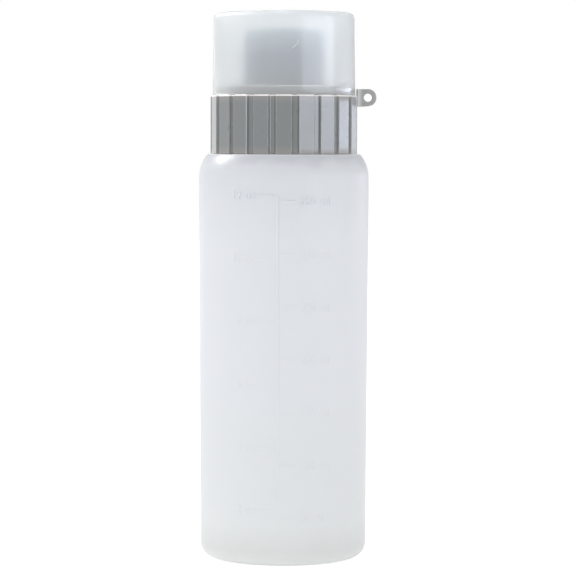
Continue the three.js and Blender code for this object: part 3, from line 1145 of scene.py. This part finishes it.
@dataclass(frozen=True)
class HangingEye:
    """The flat tab with a round hole on the collar's side, in millimetres."""

    collar: NozzleCollar
    projection: float = 6.85
    hole_radius: float = 1.45
    end_radius: float = 3.1
    rise: float = 2.3
    root_depth: float = 4.2
    thickness: float = 2.4
    edge_round: float = 0.3
    cap_edge: float = 25.95
    bedding: float = 1.5

    def build(self) -> bpy.types.Object:
        """Builds the tab with its hole and its rounded edges.

        Returns:
            The tab, in millimetres.
        """
        middle = (
            self.collar.radius + self.projection - self.end_radius,
            self.collar.deck + self.rise - self.end_radius,
        )
        root = self.collar.radius - self.bedding
        outside = [
            (root, self.collar.deck - self.root_depth),
            *arc(middle, self.end_radius, -90.0, 90.0, 32),
            (self.cap_edge, middle[1] + self.end_radius),
            (self.cap_edge, self.collar.deck - self.edge_round),
            (root, self.collar.deck - self.edge_round),
        ]
        hole = arc(middle, self.hole_radius, 0.0, -351.0, 39)
        curve = bpy.data.curves.new("eye", "CURVE")
        curve.dimensions = "2D"
        curve.fill_mode = "BOTH"
        curve.offset = -self.edge_round
        curve.extrude = self.thickness / 2.0 - self.edge_round
        curve.bevel_depth = self.edge_round
        curve.bevel_resolution = 3
        for points in (outside, hole):
            line = curve.splines.new("POLY")
            line.points.add(len(points) - 1)
            for corner, (x, y) in zip(line.points, points):
                corner.co = (x, y, 0.0, 1.0)
            line.use_cyclic_u = True
        made = mesh_from_curve(curve)
        made.data.transform(Matrix.Rotation(math.radians(90.0), 4, "X"))
        return made


@dataclass(frozen=True)
class SealingWasher:
    """The soft ring under the collar's deck, in millimetres."""

    inner: float = 20.1
    outer: float = 23.1
    low: float = BottleBody.neck_top
    high: float = NozzleCollar.deck_under
    edge_round: float = 0.15
    angles: int = 192

    def build(self, finish: bpy.types.Material) -> None:
        """Builds the ring."""
        middle = (self.low + self.high) / 2.0
        corners = [
            Corner(self.inner, middle),
            Corner(self.inner, self.low, self.edge_round, 3),
            Corner(self.outer, self.low, self.edge_round, 3),
            Corner(self.outer, self.high, self.edge_round, 3),
            Corner(self.inner, self.high, self.edge_round, 3),
            Corner(self.inner, middle),
        ]
        made = turned_solid("washer_ring", rounded_outline(corners), even_angles(self.angles))
        finish_mesh(made)
        dress(made, Body.SEAL, Slot.WASHER, finish, "sealing_washer")


@dataclass(frozen=True)
class DustCap:
    """The clear-frosted cap, mouth down, in millimetres."""

    radius: float = 25.6
    draft: float = 0.35
    wall: float = 1.2
    low: float = NozzleCollar.deck
    shoulder: float = 195.1984
    crown: float = 0.6
    corner: float = 2.0
    angles: int = 240
    scar_radius: float = 0.11
    scar: tuple[Point, ...] = (
        (4.9, 184.9), (4.5, 183.9), (5.1, 183.5), (4.2, 183.0), (3.4, 182.6), (2.9, 181.8),
    )  # places along the side and up, in millimetres

    def crown_curve(self, reach: float, lift: float) -> list[Point]:
        """The crowned top, from the axis out to the corner."""
        shares = [i / 12 for i in range(13)]
        return [(reach * s, self.shoulder + lift + self.crown * (1.0 - s * s)) for s in shares]

    def outline(self) -> list[Point]:
        """The closed outline, over the outside and back under the inside."""
        reach = self.radius - self.draft - self.corner
        centre = (reach, self.shoulder - self.corner)
        rim = rounded_outline(
            [
                Corner(self.radius - self.draft, self.shoulder - self.corner),
                Corner(self.radius, self.low, 0.3, 4),
                Corner(self.radius - self.wall, self.low, 0.3, 4),
                Corner(self.radius - self.draft - self.wall, self.shoulder - self.corner),
            ]
        )
        return subdivided(
            [
                *self.crown_curve(reach, 0.0),
                *arc(centre, self.corner, 90.0, 0.0, 14),
                *rim,
                *arc(centre, self.corner - self.wall, 0.0, 90.0, 8),
                *reversed(self.crown_curve(reach, -self.wall)),
            ],
            2.5,
        )

    def build_scar(self) -> bpy.types.Object:
        """The small curled scar on the cap's front, as a thin bent bar in millimetres."""
        curve = bpy.data.curves.new("cap_scar", "CURVE")
        curve.dimensions = "3D"
        curve.bevel_depth = self.scar_radius
        curve.bevel_resolution = 2
        curve.use_fill_caps = True
        line = curve.splines.new("NURBS")
        line.points.add(len(self.scar) - 1)
        for corner, (along, height) in zip(line.points, self.scar):
            reach = self.radius - self.draft * (height - self.low) / (self.shoulder - self.low)
            angle = math.radians(-90.0) + along / reach
            corner.co = (reach * math.cos(angle), reach * math.sin(angle), height, 1.0)
        line.use_endpoint_u = True
        line.order_u = 3
        return mesh_from_curve(curve)

    def build(self, finish: bpy.types.Material, scar_finish: bpy.types.Material) -> None:
        """Builds the cap and the scar that rides on it.

        Args:
            finish: the cap's material.
            scar_finish: the scar's material.
        """
        made = turned_solid("cap_moulded", self.outline(), even_angles(self.angles))
        finish_mesh(made)
        dress(made, Body.CAP, Slot.FROSTED, finish, "dust_cap")
        scar = self.build_scar()
        finish_mesh(scar)
        dress(scar, Body.CAP, Slot.FROSTED, scar_finish)


@dataclass(frozen=True)
class AreaLamp:
    """One softbox, placed by its direction from the bottle, that shows in reflections only."""

    name: str
    azimuth: float
    elevation: float
    distance: float
    width: float
    height: float
    brightness: float
    aim_height: float = 0.1
    colour: Colour = (1.0, 1.0, 1.0)

    def build(self) -> None:
        """Adds the lamp with its power from its brightness and area."""
        lamp = bpy.data.lights.new(self.name, "AREA")
        lamp.shape = "RECTANGLE"
        lamp.size = self.width
        lamp.size_y = self.height
        lamp.energy = self.brightness * math.pi * self.width * self.height
        lamp.color = self.colour
        turn = math.radians(self.azimuth)
        lift = math.radians(self.elevation)
        way = Vector((math.sin(turn) * math.cos(lift), -math.cos(turn) * math.cos(lift), math.sin(lift)))
        made = linked(self.name, lamp)
        made.location = Vector((0.0, 0.0, self.aim_height)) + way * self.distance
        made.rotation_euler = way.to_track_quat("Z", "Y").to_euler()
        made.visible_camera = False
        made.visible_diffuse = False
        made.visible_transmission = False


@dataclass(frozen=True)
class Studio:
    """The white product studio: world, floor, lamps and camera."""

    ambient: float = 0.93
    dim_right: float = 0.76
    dim_span: tuple[float, float] = (-0.1, 0.42)
    floor_seen: float = 0.5
    floor_fill: float = 0.35
    floor_size: float = 6.0
    floor_colour: Colour = (0.9, 0.9, 0.9)
    white: Colour = (1.0, 1.0, 1.0)
    lens: float = 162.5
    eye: tuple[float, float, float] = (0.0016, -0.935, 0.1497)
    pitch: float = -3.245
    roll: float = 0.13
    lamps: tuple[AreaLamp, ...] = (
        AreaLamp("softbox_right", 57.5, 8.0, 1.0, 1.1, 0.35, 3.9, 0.1, (0.82, 0.86, 1.0)),
        AreaLamp("strip_right", 116.0, 3.4, 1.0, 0.9, 0.06, 6.5, 0.1, (0.8, 0.85, 1.0)),
        AreaLamp("softbox_back_left", -147.0, 4.0, 1.0, 0.42, 0.6, 0.3),
        AreaLamp("lamp_left", -116.0, 36.6, 1.0, 0.42, 0.36, 24.0, 0.15),
    )

    def build_world(self) -> None:
        """A plain room: white where it is seen, softer as fill, and dimmer towards the right."""
        world = bpy.data.worlds.new("studio")
        world.use_nodes = True
        world.node_tree.nodes.clear()
        wiring = Wiring(world.node_tree)
        path = wiring.node("ShaderNodeLightPath").outputs
        seen = wiring.math("MAXIMUM", path["Is Camera Ray"], path["Is Transmission Ray"])
        seen = wiring.math("MAXIMUM", seen, path["Is Glossy Ray"])
        level = wiring.ramp(seen, 0.0, 1.0, self.ambient, 1.0)
        way = wiring.node("ShaderNodeTexCoord").outputs["Generated"]
        dimmed = wiring.ramp(wiring.split(way)["X"], *self.dim_span, 1.0, self.dim_right)
        kept = wiring.math("MAXIMUM", dimmed, path["Is Camera Ray"])
        strength = wiring.math("MULTIPLY", level, kept)
        background = wiring.node("ShaderNodeBackground", {"Color": opaque(self.white), "Strength": strength})
        wiring.node("ShaderNodeOutputWorld", {"Surface": background.outputs[0]})
        bpy.context.scene.world = world

    def build_floor(self) -> None:
        """A white floor that keeps the bottle's contact shadow."""
        half = self.floor_size / 2.0
        corners = [(-half, -half, 0.0), (half, -half, 0.0), (half, half, 0.0), (-half, half, 0.0)]
        mesh = bpy.data.meshes.new("floor")
        mesh.from_pydata(corners, [], [[0, 1, 2, 3]])
        floor = linked("floor", mesh)
        material, wiring, shader = new_material("floor_white")
        path = wiring.node("ShaderNodeLightPath").outputs
        glow = wiring.ramp(path["Is Camera Ray"], 0.0, 1.0, self.floor_fill, self.floor_seen)
        wiring.fill(shader, {"Base Color": opaque(self.floor_colour), "Roughness": 0.9})
        wiring.fill(shader, {"Emission Color": opaque(self.white), "Emission Strength": glow})
        wiring.fill(shader, {"Specular IOR Level": 0.0})
        floor.data.materials.append(material)

    def build_camera(self) -> None:
        """The camera of the photograph: long lens, just above the shoulder's height."""
        data = bpy.data.cameras.new("camera")
        data.lens = self.lens
        data.clip_end = 20.0
        made = linked("camera", data)
        upright = Matrix.Rotation(math.radians(90.0 + self.pitch), 4, "X")
        rolled = Matrix.Rotation(math.radians(self.roll), 4, "Z")
        made.matrix_world = Matrix.Translation(self.eye) @ upright @ rolled
        bpy.context.scene.camera = made

    def build(self) -> None:
        """Sets up the whole studio."""
        self.build_world()
        self.build_floor()
        for lamp in self.lamps:
            lamp.build()
        self.build_camera()
        bpy.context.scene.view_settings.view_transform = "Standard"


def main() -> None:
    logging.basicConfig(level=logging.INFO, format="%(name)s: %(message)s")
    effects = SurfaceEffects()
    BottleBody().build(MilkyPolyethylene().material(effects))
    SealingWasher().build(WasherFoam().material(effects))
    NozzleCollar().build(GreyPolypropylene().material(effects))
    frosted = FrostedPolypropylene()
    DustCap().build(frosted.material(effects), frosted.nicked_material())
    Studio().build()


if __name__ == "__main__":
    main()
